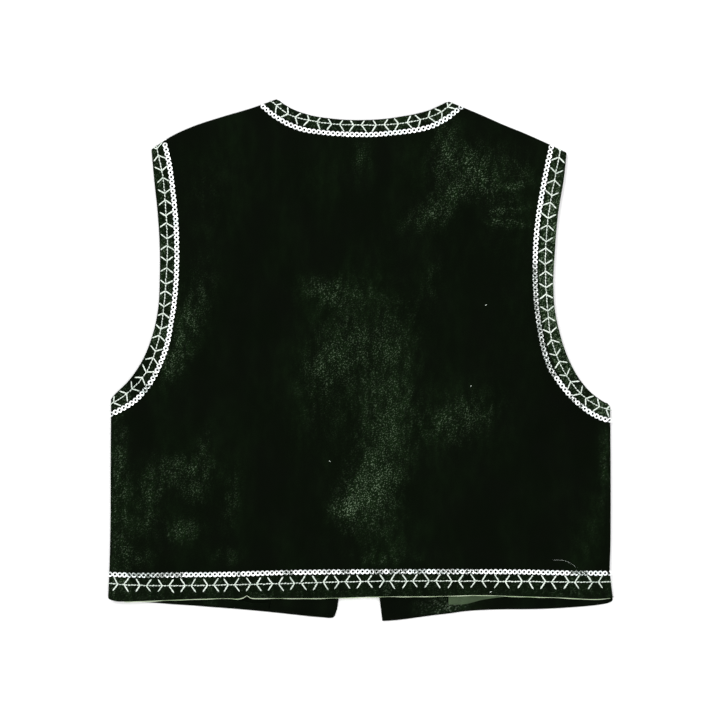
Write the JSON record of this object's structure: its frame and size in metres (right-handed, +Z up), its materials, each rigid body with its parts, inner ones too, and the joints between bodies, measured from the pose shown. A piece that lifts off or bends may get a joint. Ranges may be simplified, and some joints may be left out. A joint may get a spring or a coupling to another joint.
{
  "type": "velvet vest",
  "caption": "Sleeveless cropped velvet waistcoat laid flat with its back up, open at the front, edged with sequins and stitched trim.",
  "frame": {"origin": "middle of the footprint on the surface that the vest lies on", "axes": "+Z up from the surface, +Y from the hem to the neck, +X to the right of the back as it is seen from above"},
  "size_m": [0.4548, 0.47, 0.0079],
  "materials": {
    "velvet": "dark green cotton velvet, napped",
    "facing_velvet": "dark green velvet turned to the inside",
    "lining": "green woven lining, satin",
    "sequins": "silver cup sequins sewn in a row"
  },
  "bodies": {
    "root": {"back_panel": "velvet", "front_left": "velvet", "front_right": "velvet", "front_facing_left": "facing_velvet", "front_facing_right": "facing_velvet", "turned_hem_left": "facing_velvet", "turned_hem_right": "facing_velvet", "front_lining_right": "lining", "back_hem_lining": "lining", "sequin_row_neck": "sequins", "sequin_row_hem": "sequins", "sequin_row_armhole_left": "sequins", "sequin_row_armhole_right": "sequins"}
  },
  "joints": []
}
